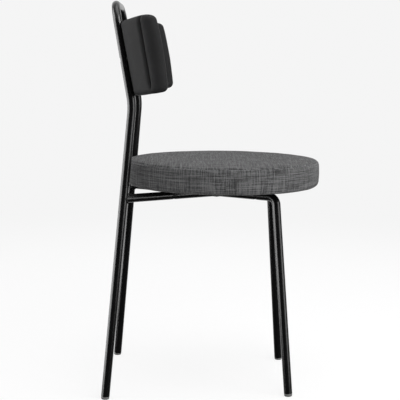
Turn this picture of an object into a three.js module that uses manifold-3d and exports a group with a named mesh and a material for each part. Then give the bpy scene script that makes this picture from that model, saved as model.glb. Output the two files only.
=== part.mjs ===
// A dining chair: a round padded seat on crossed steel tubes, and a curved, channelled back pad
// on a bent tube hoop. Millimetres, +Z up. The origin is on the floor under the middle of the
// chair, the sitter faces -Y, and the chair is laid out evenly about the plane X = 0.
import * as THREE from "three";
import { mergeVertices } from "three/addons/utils/BufferGeometryUtils.js";
import Module from "manifold-3d";

const wasm = await Module();
wasm.setup();

// ---------- driving dimensions ----------
const GAP = 0.3; // working clearance between touching pieces

// round steel tube of the whole frame
const TUBE_RADIUS = 9;
const TUBE_WALL = 1.5;
const BORE_RADIUS = TUBE_RADIUS - TUBE_WALL;
const TUBE_SIDES = 16;
const WELD_GAP = 0.4; // coped tube ends stop this far from the tube they are welded to

// centre line of the rear hoop: rear foot, bend at the waist, corner of the top bow
const REAR_FOOT = new THREE.Vector3(162.2, 224.2, 0);
const WAIST = new THREE.Vector3(106.6, 170.9, 616.3);
const BOW_CORNER = new THREE.Vector3(91, 208.2, 825);
const WAIST_BEND_RADIUS = 130;
const BOW_BEND_RADIUS = 46;

// centre line of the crossed rails and front legs
const RAIL_HEIGHT = 422;
const KNEE = new THREE.Vector3(79.3, -134.9, RAIL_HEIGHT);
const FRONT_FOOT = new THREE.Vector3(134, -165.7, 0);
const KNEE_BEND_RADIUS = 18;

// foot glides
const GLIDE_HEAD = 5.6; // head height under the tube end
const GLIDE_HEAD_RADIUS = 8.6;
const GLIDE_STEM = 16;

// round seat
const SEAT_CENTRE_Y = -23.3;
const SEAT_RADIUS = 210;
const SEAT_BOTTOM = 441;
const SEAT_TOP = 497;
const SEAT_EDGE_RADIUS = 10;
const SEAT_SIDES = 40;
const FABRIC = 1.4; // thickness of the seat fabric
const BOARD = 12; // seat plywood
const BOARD_RADIUS = 198;
const HEM_INNER_RADIUS = 176; // where the turned-under fabric ends
const DUST_COVER = 0.7;
const DUST_COVER_RADIUS = 186;
const REAR_SCREW_REACH = 112; // from the crossing, along each rail
const FRONT_SCREW_REACH = 100;

// curved back pad, in the plane that leans with the upper hoop
const PAD_HEIGHT = 158;
const PAD_MIDDLE_Z = 711; // height of the pad's middle on the hoop's plane
const PAD_OUTER_RADIUS = 352; // back face, in plan
const PAD_INNER_RADIUS = 316; // front face, in plan
const PAD_BACK_SET = 14.8; // the back face passes this far behind the hoop's plane at X = 0
const PAD_HALF_ANGLE = THREE.MathUtils.degToRad(35); // to the middle of each round end
const PAD_CORNER = 15;
const NEST_GAP = 0.5; // between the hoop and the hollow that the pad has for it
const COVER = 1.2; // thickness of the cover
const BACK_BOARD = 9; // bent plywood
const BACK_BOARD_INSET = 12; // from the pad's outline
const BACK_BOARD_DEPTH = 15.2; // cover and padding behind the board
const BACK_SPACER_RADIUS = 8;
const SPACER_PASSAGE = 8.4; // radius of the passage through cover and padding
const INSERT_RADIUS = 4;
const INSERT_LENGTH = 5.8;
const INSERT_REACH = 17.2; // from the hoop's plane to the insert

// M5 socket head screws and tee nuts
const SCREW_RADIUS = 2.5;
const HEAD_RADIUS = 4.25;
const HEAD_HEIGHT = 5;
const HEX_RADIUS = 2.3;
const HEX_DEPTH = 2.6;
const CLEARANCE_RADIUS = 2.8;
const ACCESS_RADIUS = 5;
const SEAT_SCREW_LENGTH = 25;
const BACK_SCREW_LENGTH = 16;
const SPACER_RADIUS = 11;
const TEE_FLANGE_RADIUS = 9.5;
const TEE_FLANGE = 1.2;
const TEE_BARREL_RADIUS = 3.7;
const TEE_BARREL = 8;

const UP = new THREE.Vector3(0, 0, 1);
const FULL_TURN = 2 * Math.PI;

// ---------- finishes ----------
const finish = (color, roughness, metalness = 0) => () =>
  new THREE.MeshStandardMaterial({ color, roughness, metalness });
const blackSteel = finish(0x101011, 0.35, 0.4);
const greyNylon = finish(0x8c8c8a, 0.55);
const blackNylon = finish(0x1b1b1b, 0.6);
const zincSteel = finish(0xb5b6b4, 0.35, 0.9);
const plywood = finish(0xc9a779, 0.7);
const foam = finish(0xe5dfc9, 0.95);
const greyFabric = finish(0x5a5a5b, 0.95);
const blackLeather = finish(0x1c1c1d, 0.5);
const brass = finish(0xb08d4a, 0.4, 0.9);
const blackLining = finish(0x141414, 0.95);

// ---------- solids ----------
function toSolid(geometry) {
  geometry.deleteAttribute("normal");
  geometry.deleteAttribute("uv");
  const merged = mergeVertices(geometry, 1e-4);
  return new wasm.Manifold(
    new wasm.Mesh({
      numProp: 3,
      vertProperties: merged.attributes.position.array,
      triVerts: new Uint32Array(merged.index.array),
    }),
  );
}

function toGeometry(solid) {
  const mesh = solid.getMesh();
  const indexed = new THREE.BufferGeometry();
  indexed.setAttribute("position", new THREE.BufferAttribute(mesh.vertProperties, 3));
  indexed.setIndex(new THREE.BufferAttribute(mesh.triVerts, 1));
  const geometry = indexed.toNonIndexed();
  geometry.computeVertexNormals();
  return geometry;
}

const cut = (solid, ...tools) => tools.reduce((left, tool) => left.subtract(tool), solid);

// The matrix that stands a shape's own +Z along a direction, with its origin at a point.
function standing(point, direction) {
  const turn = new THREE.Quaternion().setFromUnitVectors(UP, direction.clone().normalize());
  return new THREE.Matrix4().compose(point, turn, new THREE.Vector3(1, 1, 1));
}

// A cylinder that starts at a point and runs along a direction.
function rod(point, direction, length, radius, sides = 16) {
  const geometry = new THREE.CylinderGeometry(radius, radius, length, sides);
  geometry.rotateX(Math.PI / 2);
  geometry.translate(0, 0, length / 2);
  return toSolid(geometry.applyMatrix4(standing(point, direction)));
}

// A turned solid from a profile of [radius, height] points that starts and ends on its axis,
// or closes on itself.
function turned(profile, sides) {
  const points = profile.map(([radius, height]) => new THREE.Vector2(radius, height));
  const geometry = new THREE.LatheGeometry(points, sides);
  geometry.rotateX(Math.PI / 2);
  return toSolid(geometry);
}

// Points of a quarter circle for a profile, about a centre, from one angle to another.
function roundedEdge(radius, height, edge, from, to, steps = 3) {
  return Array.from({ length: steps + 1 }, (_, step) => {
    const angle = from + ((to - from) * step) / steps;
    return [radius + edge * Math.cos(angle), height + edge * Math.sin(angle)];
  });
}

// ---------- bent tubes ----------
// The centre line of a bent tube: straight runs joined by round bends. It holds one station at
// each end of a straight run and one every few degrees round a bend.
class BentLine extends THREE.Curve {
  constructor(corners, radii, degreesPerStep = 10) {
    super();
    this.points = [corners[0]];
    this.tangents = [corners[1].clone().sub(corners[0]).normalize()];
    for (let i = 1; i < corners.length - 1; i += 1) {
      this.addBend(corners[i - 1], corners[i], corners[i + 1], radii[i - 1], degreesPerStep);
    }
    this.points.push(corners.at(-1));
    this.tangents.push(this.tangents.at(-1));
  }

  addBend(before, corner, after, radius, degreesPerStep) {
    const along = corner.clone().sub(before).normalize();
    const onward = after.clone().sub(corner).normalize();
    const angle = along.angleTo(onward);
    const start = corner.clone().addScaledVector(along, -radius * Math.tan(angle / 2));
    const inward = onward.clone().addScaledVector(along, -onward.dot(along)).normalize();
    const centre = start.clone().addScaledVector(inward, radius);
    const steps = Math.max(2, Math.ceil(THREE.MathUtils.radToDeg(angle) / degreesPerStep));
    for (let step = 0; step <= steps; step += 1) {
      const turn = (angle * step) / steps;
      const point = centre.clone();
      point.addScaledVector(inward, -radius * Math.cos(turn));
      point.addScaledVector(along, radius * Math.sin(turn));
      const tangent = along.clone().multiplyScalar(Math.cos(turn));
      this.points.push(point);
      this.tangents.push(tangent.addScaledVector(inward, Math.sin(turn)));
    }
  }

  get steps() {
    return this.points.length - 1;
  }

  getPointAt(share) {
    return this.points[Math.round(share * this.steps)].clone();
  }

  getTangentAt(share) {
    return this.tangents[Math.round(share * this.steps)].clone();
  }
}

// Tube between two radii along a bent line; an inner radius of 0 gives a solid bar.
function bentTube(line, outer, inner) {
  const section = new THREE.Shape().absarc(0, 0, outer, 0, FULL_TURN);
  if (inner > 0) section.holes.push(new THREE.Path().absarc(0, 0, inner, 0, FULL_TURN, true));
  return toSolid(
    new THREE.ExtrudeGeometry(section, {
      steps: line.steps,
      extrudePath: line,
      curveSegments: TUBE_SIDES / 2,
    }),
  );
}

const mirrored = (point) => new THREE.Vector3(-point.x, point.y, point.z);
const onSide = (point, side) => new THREE.Vector3(side * point.x, point.y, point.z);
const between = (from, to, share) => from.clone().lerp(to, share);

// A leg's line ends above the floor by the height of the glide's head.
function tubeEnd(foot, upper) {
  const along = upper.clone().sub(foot).normalize();
  return foot.clone().addScaledVector(along, GLIDE_HEAD / along.z);
}

const hoopLine = new BentLine(
  [
    tubeEnd(REAR_FOOT, WAIST),
    WAIST,
    BOW_CORNER,
    mirrored(BOW_CORNER),
    mirrored(WAIST),
    mirrored(tubeEnd(REAR_FOOT, WAIST)),
  ],
  [WAIST_BEND_RADIUS, BOW_BEND_RADIUS, BOW_BEND_RADIUS, WAIST_BEND_RADIUS],
);

// Where the rails meet the rear uprights' centre lines.
const RAIL_ROOT = between(REAR_FOOT, WAIST, RAIL_HEIGHT / WAIST.z);

// The rails cross where the line from one root to the opposite knee meets X = 0.
const CROSSING = between(
  mirrored(RAIL_ROOT),
  KNEE,
  RAIL_ROOT.x / (RAIL_ROOT.x + KNEE.x),
);

// ---------- screw places ----------
// Seat screws stand on the rails: two behind the crossing and two in front of it.
function seatScrewPlace(end, side) {
  const target = end === "rear" ? RAIL_ROOT : KNEE;
  const reach = end === "rear" ? REAR_SCREW_REACH : FRONT_SCREW_REACH;
  const along = onSide(target, side).sub(CROSSING).normalize();
  return CROSSING.clone().addScaledVector(along, reach);
}

const SEAT_SCREWS = ["rear", "front"].flatMap((end) =>
  [-1, 1].map((side) => ({
    name: `${end}_${side < 0 ? "right" : "left"}`,
    place: seatScrewPlace(end, side),
  })),
);

// The pad's own frame: +Z leans with the hoop, and +Y points straight back from it.
const HOOP_LEAN = Math.atan2(BOW_CORNER.y - WAIST.y, BOW_CORNER.z - WAIST.z);
const PAD_FORWARD = new THREE.Vector3(0, -Math.cos(HOOP_LEAN), Math.sin(HOOP_LEAN));
const PAD_SHARE = (PAD_MIDDLE_Z - WAIST.z) / (BOW_CORNER.z - WAIST.z);
const BACK_SCREW = between(WAIST, BOW_CORNER, PAD_SHARE);
const PAD_PLACE = new THREE.Matrix4().compose(
  new THREE.Vector3(0, BACK_SCREW.y, BACK_SCREW.z),
  new THREE.Quaternion().setFromAxisAngle(new THREE.Vector3(1, 0, 0), -HOOP_LEAN),
  new THREE.Vector3(1, 1, 1),
);
const BACK_SCREWS = [-1, 1].map((side) => ({
  name: side < 0 ? "right" : "left",
  place: onSide(BACK_SCREW, side),
}));

// ---------- drilled holes ----------
// A screw enters through a wide access hole in the near wall, and its head bears on the far wall.
function drilling(place, direction) {
  const access = rod(place, direction.clone().negate(), 2 * TUBE_RADIUS, ACCESS_RADIUS);
  const clearance = rod(place, direction, 2 * TUBE_RADIUS, CLEARANCE_RADIUS);
  return access.add(clearance);
}

const railDrillings = (side) => [
  drilling(seatScrewPlace("rear", -side), UP),
  drilling(seatScrewPlace("front", side), UP),
];

// ---------- frame ----------
// One tube bent into both rear legs, both uprights and the bow over the back pad.
function rearHoop() {
  const tube = bentTube(hoopLine, TUBE_RADIUS, BORE_RADIUS);
  return cut(tube, ...BACK_SCREWS.map(({ place }) => drilling(place, PAD_FORWARD)));
}

// The space that a straight rear leg takes, with the welding gap round it.
function rearLegSpace(side) {
  const from = onSide(REAR_FOOT, side);
  const to = onSide(WAIST, side);
  const along = to.clone().sub(from);
  return rod(from, along, along.length(), TUBE_RADIUS + WELD_GAP, 2 * TUBE_SIDES);
}

// A rail that runs from the opposite rear leg to a knee, turns down and becomes a front leg.
function railAndLeg(side, start) {
  const line = new BentLine(
    [start, onSide(KNEE, side), onSide(tubeEnd(FRONT_FOOT, KNEE), side)],
    [KNEE_BEND_RADIUS],
  );
  return bentTube(line, TUBE_RADIUS, BORE_RADIUS);
}

// The through rail is one tube, coped onto the rear leg across from its own front leg.
function throughRail() {
  const tube = railAndLeg(1, mirrored(RAIL_ROOT));
  return cut(tube, rearLegSpace(-1), ...railDrillings(1));
}

function throughRailSpace() {
  const from = mirrored(RAIL_ROOT);
  const along = KNEE.clone().sub(from);
  return rod(from, along, along.length(), TUBE_RADIUS + WELD_GAP, 2 * TUBE_SIDES);
}

// The other rail is cut in two at the crossing: a piece that turns into the front leg...
function crossRailFront() {
  const tube = railAndLeg(-1, CROSSING);
  return cut(tube, throughRailSpace(), drilling(seatScrewPlace("front", -1), UP));
}

// ...and a straight piece back to the rear leg.
function crossRailRear() {
  const line = new BentLine([CROSSING, RAIL_ROOT], []);
  const tube = bentTube(line, TUBE_RADIUS, BORE_RADIUS);
  const drilled = drilling(seatScrewPlace("rear", 1), UP);
  return cut(tube, throughRailSpace(), rearLegSpace(1), drilled);
}

// ---------- foot glides ----------
// A moulded plug: a stem pressed into the tube and a domed head, its sole cut level with the floor.
function glide(foot, upper) {
  const along = upper.clone().sub(foot).normalize();
  const headBottom = -1.2; // the head starts below the floor plane, which then trims it
  const dome = 3.4; // radius of the head's rounded edge
  const profile = [
    [0, headBottom],
    ...roundedEdge(GLIDE_HEAD_RADIUS - dome, headBottom + dome, dome, -Math.PI / 2, 0, 4),
    [GLIDE_HEAD_RADIUS, GLIDE_HEAD - GAP],
    [BORE_RADIUS - GAP, GLIDE_HEAD - GAP],
    [BORE_RADIUS - GAP, GLIDE_HEAD + GLIDE_STEM],
    [0, GLIDE_HEAD + GLIDE_STEM],
  ];
  const plug = turned(profile, 16);
  const floor = new THREE.BoxGeometry(60, 60, 20).translate(foot.x, foot.y, -10);
  const geometry = toGeometry(plug).applyMatrix4(standing(foot, along));
  return cut(toSolid(geometry), toSolid(floor));
}

// ---------- seat ----------
// Holes under the four screws: right through the seat, unless a height to start and stop is given.
const seatHoles = (radius, bottom = RAIL_HEIGHT, top = SEAT_TOP) =>
  SEAT_SCREWS.map(({ place }) =>
    rod(new THREE.Vector3(place.x, place.y, bottom), UP, top - bottom, radius),
  );

const BOARD_BOTTOM = SEAT_BOTTOM + FABRIC + GAP;
const BOARD_TOP = BOARD_BOTTOM + BOARD;
const DUST_COVER_TOP = SEAT_BOTTOM - GAP;

function seatSolid(profile) {
  const geometry = toGeometry(turned(profile, SEAT_SIDES));
  return toSolid(geometry.translate(0, SEAT_CENTRE_Y, 0));
}

function seatBoard() {
  const profile = [
    [0, BOARD_BOTTOM],
    [BOARD_RADIUS, BOARD_BOTTOM],
    [BOARD_RADIUS, BOARD_TOP],
    [0, BOARD_TOP],
  ];
  return cut(seatSolid(profile), ...seatHoles(TEE_BARREL_RADIUS + GAP));
}

// Slab of foam over the board, rounded at its top edge, with a wall that runs down past the board.
function seatFoam() {
  const radius = SEAT_RADIUS - FABRIC - GAP;
  const top = SEAT_TOP - FABRIC - GAP;
  const edge = SEAT_EDGE_RADIUS - FABRIC;
  const profile = [
    [0, BOARD_TOP + GAP],
    [BOARD_RADIUS + GAP, BOARD_TOP + GAP],
    [BOARD_RADIUS + GAP, BOARD_BOTTOM + edge],
    [radius, BOARD_BOTTOM + edge],
    ...roundedEdge(radius - edge, top - edge, edge, 0, Math.PI / 2, 3),
    [0, top],
  ];
  const pocketTop = BOARD_TOP + TEE_FLANGE + 2 * GAP;
  const pockets = seatHoles(TEE_FLANGE_RADIUS + GAP, BOARD_TOP, pocketTop);
  return cut(seatSolid(profile), ...pockets);
}

// Sewn cover: top disc, side band and the edge turned under the board.
function seatCover() {
  const edge = SEAT_EDGE_RADIUS;
  const inner = SEAT_EDGE_RADIUS - FABRIC;
  const middle = SEAT_RADIUS - SEAT_EDGE_RADIUS;
  const profile = [
    [HEM_INNER_RADIUS, SEAT_BOTTOM],
    ...roundedEdge(middle, SEAT_BOTTOM + edge, edge, -Math.PI / 2, 0),
    ...roundedEdge(middle, SEAT_TOP - edge, edge, 0, Math.PI / 2),
    [0, SEAT_TOP],
    [0, SEAT_TOP - FABRIC],
    ...roundedEdge(middle, SEAT_TOP - edge, inner, Math.PI / 2, 0),
    ...roundedEdge(middle, SEAT_BOTTOM + edge, inner, 0, -Math.PI / 2),
    [HEM_INNER_RADIUS, SEAT_BOTTOM + FABRIC],
    [HEM_INNER_RADIUS, SEAT_BOTTOM],
  ];
  return seatSolid(profile);
}

function dustCover() {
  const profile = [
    [0, DUST_COVER_TOP - DUST_COVER],
    [DUST_COVER_RADIUS, DUST_COVER_TOP - DUST_COVER],
    [DUST_COVER_RADIUS, DUST_COVER_TOP],
    [0, DUST_COVER_TOP],
  ];
  return cut(seatSolid(profile), ...seatHoles(CLEARANCE_RADIUS));
}

// Nylon block between rail and seat: flat on top, hollowed below to sit on the round rail.
function seatSpacer(place, along) {
  const top = DUST_COVER_TOP - DUST_COVER - GAP;
  const block = rod(place, UP, top - place.z, SPACER_RADIUS);
  const start = place.clone().addScaledVector(along, -2 * SPACER_RADIUS);
  const rail = rod(start, along, 4 * SPACER_RADIUS, TUBE_RADIUS + GAP, 2 * TUBE_SIDES);
  return cut(block, rail, rod(place, UP, top, CLEARANCE_RADIUS));
}

// ---------- screws and tee nuts ----------
// Socket head screw along a direction; its head bears inside the tube wall that it passes.
function screw(place, direction, length) {
  const wallRise = Math.sqrt(BORE_RADIUS ** 2 - HEAD_RADIUS ** 2);
  const seat = place.clone().addScaledVector(direction, wallRise - GAP);
  const back = direction.clone().negate();
  const head = rod(seat, back, HEAD_HEIGHT, HEAD_RADIUS);
  const shank = rod(seat.clone().addScaledVector(direction, -1), direction, length + 1, SCREW_RADIUS);
  const headEnd = seat.clone().addScaledVector(back, HEAD_HEIGHT + 1);
  const socket = rod(headEnd, direction, HEX_DEPTH + 1, HEX_RADIUS, 6);
  return cut(head.add(shank), socket);
}

// Tee nut: a flange on the far face of the board and a barrel pressed back into it.
function teeNut(flangeFace, direction) {
  const back = direction.clone().negate();
  const flange = rod(flangeFace, direction, TEE_FLANGE, TEE_FLANGE_RADIUS);
  const inside = flangeFace.clone().addScaledVector(direction, 0.5);
  const barrel = rod(inside, back, TEE_BARREL + 0.5, TEE_BARREL_RADIUS);
  const start = flangeFace.clone().addScaledVector(back, 2 * TEE_BARREL);
  return cut(flange.add(barrel), rod(start, direction, 4 * TEE_BARREL, CLEARANCE_RADIUS));
}

// ---------- back pad ----------
const PAD_THICKNESS = PAD_OUTER_RADIUS - PAD_INNER_RADIUS;
const PAD_ARC_CENTRE = PAD_BACK_SET - PAD_OUTER_RADIUS;

// In the pad's frame, the plan of a curved band between two radii with half-round ends.
function bandPlan(outer, inner, halfAngle) {
  const from = Math.PI / 2 - halfAngle;
  const to = Math.PI / 2 + halfAngle;
  const middle = (outer + inner) / 2;
  const end = (outer - inner) / 2;
  const endY = PAD_ARC_CENTRE + middle * Math.sin(from);
  const endX = middle * Math.cos(from);
  const plan = new THREE.Shape();
  plan.absarc(0, PAD_ARC_CENTRE, outer, from, to);
  plan.absarc(-endX, endY, end, to, to + Math.PI);
  plan.absarc(0, PAD_ARC_CENTRE, inner, to, from, true);
  plan.absarc(endX, endY, end, from - Math.PI, from);
  return plan;
}

// The front view of the pad: a rectangle with round corners, drawn about its middle.
function roundedRectangle(width, height, corner) {
  const x = width / 2 - corner;
  const y = height / 2 - corner;
  const outline = new THREE.Shape();
  outline.absarc(x, y, corner, 0, Math.PI / 2);
  outline.absarc(-x, y, corner, Math.PI / 2, Math.PI);
  outline.absarc(-x, -y, corner, Math.PI, 1.5 * Math.PI);
  outline.absarc(x, -y, corner, 1.5 * Math.PI, FULL_TURN);
  return outline;
}

// A curved slab stood in the pad's place: the band seen from above, cut to the outline from the front.
function curvedSlab(outer, inner, halfAngle, height, corner) {
  const plan = new THREE.ExtrudeGeometry(bandPlan(outer, inner, halfAngle), {
    depth: height,
    bevelEnabled: false,
    curveSegments: 7,
  });
  plan.translate(0, 0, -height / 2);
  const width = (outer + inner) * Math.sin(halfAngle) + (outer - inner);
  const front = new THREE.ExtrudeGeometry(roundedRectangle(width, height, corner), {
    depth: 2 * PAD_OUTER_RADIUS,
    bevelEnabled: false,
    curveSegments: 4,
  });
  front.translate(0, 0, -PAD_OUTER_RADIUS);
  front.rotateX(Math.PI / 2);
  const slab = toGeometry(toSolid(plan).intersect(toSolid(front)));
  return toSolid(slab.applyMatrix4(PAD_PLACE));
}

// The pad drawn in on every side, and kept clear of the hoop that it nests against.
function padSolid(inset) {
  const slab = curvedSlab(
    PAD_OUTER_RADIUS - inset,
    PAD_INNER_RADIUS + inset,
    PAD_HALF_ANGLE,
    PAD_HEIGHT - 2 * inset,
    PAD_CORNER,
  );
  return cut(slab, bentTube(hoopLine, TUBE_RADIUS + NEST_GAP + inset, 0));
}

const boardOuter = PAD_OUTER_RADIUS - BACK_BOARD_DEPTH;
const boardInner = boardOuter - BACK_BOARD;
const boardHalfAngle = PAD_HALF_ANGLE - BACK_BOARD_INSET / PAD_OUTER_RADIUS;

const backBoardSolid = (grow) =>
  curvedSlab(
    boardOuter + grow,
    boardInner - grow,
    boardHalfAngle,
    PAD_HEIGHT - 2 * BACK_BOARD_INSET + 2 * grow,
    PAD_CORNER,
  );

const backHoles = (radius) =>
  BACK_SCREWS.map(({ place }) => rod(place, PAD_FORWARD, 2 * PAD_THICKNESS, radius));

// The spacers' passages, from the hoop to the board.
const spacerPassages = () =>
  BACK_SCREWS.map(({ place }) => rod(place, PAD_FORWARD, BACK_BOARD_DEPTH + 8, SPACER_PASSAGE));

function backBoard() {
  return cut(backBoardSolid(0), ...backHoles(INSERT_RADIUS + GAP));
}

// Padding moulded round the board, open behind where the spacers reach it.
function backFoam() {
  return cut(padSolid(COVER + GAP), backBoardSolid(GAP), ...spacerPassages());
}

function backCover() {
  return cut(padSolid(0), padSolid(COVER), ...spacerPassages());
}

// Nylon block between hoop and board: hollowed behind for the tube, curved in front for the board.
function backSpacer(place) {
  const block = rod(place, PAD_FORWARD, 2 * PAD_THICKNESS, BACK_SPACER_RADIUS);
  const inFront = new THREE.CylinderGeometry(boardOuter + GAP, boardOuter + GAP, PAD_HEIGHT, 120);
  inFront.rotateX(Math.PI / 2);
  inFront.translate(0, PAD_ARC_CENTRE, 0);
  const hoop = bentTube(hoopLine, TUBE_RADIUS + GAP, 0);
  const hole = rod(place, PAD_FORWARD, 2 * PAD_THICKNESS, CLEARANCE_RADIUS);
  return cut(block, toSolid(inFront.applyMatrix4(PAD_PLACE)), hoop, hole);
}

// Threaded brass sleeve screwed into the back board.
function backInsert(place) {
  const start = place.clone().addScaledVector(PAD_FORWARD, INSERT_REACH);
  const sleeve = rod(start, PAD_FORWARD, INSERT_LENGTH, INSERT_RADIUS);
  const bore = rod(start.addScaledVector(PAD_FORWARD, -1), PAD_FORWARD, 2 * INSERT_LENGTH, CLEARANCE_RADIUS);
  return cut(sleeve, bore);
}

// ---------- assembly ----------
const root = new THREE.Group();

function add(name, solid, material) {
  const mesh = new THREE.Mesh(toGeometry(solid), material());
  mesh.name = name;
  root.add(mesh);
}

add("rear_hoop", rearHoop(), blackSteel);
add("through_rail_and_leg", throughRail(), blackSteel);
add("cross_rail_and_leg", crossRailFront(), blackSteel);
add("cross_rail_stub", crossRailRear(), blackSteel);

for (const side of [-1, 1]) {
  const word = side < 0 ? "right" : "left";
  add(`glide_rear_${word}`, glide(onSide(REAR_FOOT, side), onSide(WAIST, side)), greyNylon);
  add(`glide_front_${word}`, glide(onSide(FRONT_FOOT, side), onSide(KNEE, side)), greyNylon);
}

add("seat_board", seatBoard(), plywood);
add("seat_foam", seatFoam(), foam);
add("seat_cover", seatCover(), greyFabric);
add("seat_dust_cover", dustCover(), blackLining);

for (const { name, place } of SEAT_SCREWS) {
  const along = place.clone().sub(CROSSING).normalize();
  add(`seat_spacer_${name}`, seatSpacer(place, along), blackNylon);
  add(`seat_screw_${name}`, screw(place, UP, SEAT_SCREW_LENGTH), zincSteel);
  const flangeFace = new THREE.Vector3(place.x, place.y, BOARD_TOP + GAP);
  add(`seat_tee_nut_${name}`, teeNut(flangeFace, UP), zincSteel);
}

add("back_board", backBoard(), plywood);
add("back_foam", backFoam(), foam);
add("back_cover", backCover(), blackLeather);

for (const { name, place } of BACK_SCREWS) {
  add(`back_spacer_${name}`, backSpacer(place), blackNylon);
  add(`back_screw_${name}`, screw(place, PAD_FORWARD, BACK_SCREW_LENGTH), zincSteel);
  add(`back_insert_${name}`, backInsert(place), brass);
}

export default root;
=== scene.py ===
import math

import bmesh
import bpy
import numpy as np
from mathutils import Matrix, Vector, noise
from mathutils.kdtree import KDTree


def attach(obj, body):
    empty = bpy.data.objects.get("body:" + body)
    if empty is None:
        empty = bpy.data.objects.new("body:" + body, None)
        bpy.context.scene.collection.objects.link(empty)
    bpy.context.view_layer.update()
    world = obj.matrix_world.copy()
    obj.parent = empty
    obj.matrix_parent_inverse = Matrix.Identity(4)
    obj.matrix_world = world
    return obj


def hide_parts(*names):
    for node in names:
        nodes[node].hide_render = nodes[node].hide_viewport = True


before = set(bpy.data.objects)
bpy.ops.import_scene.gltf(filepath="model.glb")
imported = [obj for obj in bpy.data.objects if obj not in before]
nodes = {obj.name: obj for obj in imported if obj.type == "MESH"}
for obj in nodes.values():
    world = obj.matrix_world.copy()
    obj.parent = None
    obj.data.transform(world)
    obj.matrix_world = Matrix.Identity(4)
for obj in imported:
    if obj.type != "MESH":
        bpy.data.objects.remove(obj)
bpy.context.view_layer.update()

MM = 0.001
UP = Vector((0, 0, 1))

# ---------------------------------------------------------------------------
# Camera. It stands 2.2 m away at the sitter's right, a little above the seat,
# and looks down on the chair by about eight degrees through an 88 mm lens.
# ---------------------------------------------------------------------------
SENSOR_WIDTH = 36
FOCAL_LENGTH = 88.18
PITCH, YAW, ROLL = 0.13604, 0.00332, 0.00998
CAMERA_PLACE = (-2157.7 * MM, 34.4 * MM, 699.2 * MM)

camera_data = bpy.data.cameras.new("camera")
camera_data.sensor_width = SENSOR_WIDTH
camera_data.lens = FOCAL_LENGTH
camera = bpy.data.objects.new("camera", camera_data)
bpy.context.scene.collection.objects.link(camera)
bpy.context.scene.camera = camera
level = Vector((math.cos(YAW), -math.sin(YAW), 0))
across = Vector((-math.sin(YAW), -math.cos(YAW), 0))
ahead = level * math.cos(PITCH) - UP * math.sin(PITCH)
above = level * math.sin(PITCH) + UP * math.cos(PITCH)
turned_across = across * math.cos(ROLL) + above * math.sin(ROLL)
turned_above = above * math.cos(ROLL) - across * math.sin(ROLL)
camera.matrix_world = Matrix((turned_across, turned_above, -ahead)).transposed().to_4x4()
camera.location = CAMERA_PLACE


# ---------------------------------------------------------------------------
# Floor and light. A pale floor runs out level and fades into a white room. Soft
# boxes stand before and beside the seat, behind the back and overhead.
# ---------------------------------------------------------------------------
class Value:
    """What one node gives out, with arithmetic that adds Math nodes."""

    def __init__(self, finish, socket):
        self.finish = finish
        self.socket = socket

    def math(self, operation, *others):
        inputs = {0: self.socket}
        for place, other in enumerate(others, 1):
            inputs[place] = other
        return self.finish.node("ShaderNodeMath", {"operation": operation}, inputs)

    def __add__(self, other):
        return self.math("ADD", other)

    __radd__ = __add__

    def __sub__(self, other):
        return self.math("SUBTRACT", other)

    def __rsub__(self, other):
        return self.math("MULTIPLY", -1.0).math("ADD", other)

    def __mul__(self, other):
        return self.math("MULTIPLY", other)

    __rmul__ = __mul__

    def __pow__(self, other):
        return self.math("POWER", other)

    def between(self, low, high):
        """0 at low and below, 1 at high and above, and smooth in between."""
        settings = {"interpolation_type": "SMOOTHSTEP"}
        inputs = {"Value": self, "From Min": low, "From Max": high}
        return self.finish.node("ShaderNodeMapRange", settings, inputs)


class Finish:
    """A material's node tree, with the shader that its surface ends in."""

    def __init__(self, name, tree=None):
        if tree is None:
            self.material = bpy.data.materials.new(name)
            self.material.use_nodes = True
            tree = self.material.node_tree
            tree.nodes.clear()
            self.output = tree.nodes.new("ShaderNodeOutputMaterial")
        self.tree = tree

    def node(self, kind, settings=None, inputs=None, give=0):
        """A node of one kind: its settings first, then its sockets' values or links."""
        made = self.tree.nodes.new(kind)
        for name, value in (settings or {}).items():
            setattr(made, name, value)
        for name, value in (inputs or {}).items():
            socket = made.inputs[name]
            value = value.socket if isinstance(value, Value) else value
            if isinstance(value, bpy.types.NodeSocket):
                self.tree.links.new(value, socket)
            else:
                socket.default_value = value
        return Value(self, made.outputs[give])

    def where(self):
        """The point on the surface, in metres in the chair's frame."""
        return self.node("ShaderNodeTexCoord", give="Object")

    def parts(self, vector):
        made = self.node("ShaderNodeSeparateXYZ", None, {0: vector})
        return [Value(self, socket) for socket in made.socket.node.outputs]

    def vector(self, x, y, z):
        return self.node("ShaderNodeCombineXYZ", None, {0: x, 1: y, 2: z})

    def noise(self, vector, scale, detail=3.0, rough=0.5):
        inputs = {"Vector": vector, "Scale": scale, "Detail": detail, "Roughness": rough}
        return self.node("ShaderNodeTexNoise", None, inputs)

    def blend(self, share, first, second):
        """A colour that goes from the first to the second."""
        inputs = {"Factor": share, 6: first, 7: second}
        return self.node("ShaderNodeMix", {"data_type": "RGBA"}, inputs, give=2)

    def bump(self, height, distance, strength):
        inputs = {"Height": height, "Distance": distance, "Strength": strength}
        return self.node("ShaderNodeBump", None, inputs)

    def surface(self, **inputs):
        """The principled shader, its sockets named as words joined by underscores."""
        named = {name.replace("_", " "): value for name, value in inputs.items()}
        shader = self.node("ShaderNodeBsdfPrincipled", None, named)
        self.tree.links.new(shader.socket, self.output.inputs["Surface"])
        return self.material


def show(name, mesh, material):
    piece = bpy.data.objects.new(name, mesh)
    bpy.context.scene.collection.objects.link(piece)
    mesh.materials.clear()
    mesh.materials.append(material)
    return piece


def grey(light):
    return (light, light, light, 1)


ROOM_WHITE = 0.912
FLOOR_WHITE = 1.13
FLOOR_BOUNCE = 0.3  # share of the floor's own light that falls on the chair
FLOOR_LIT = 0.72  # share of the floor near the chair that is its own light
FLOOR_REACH = 40.0

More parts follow.
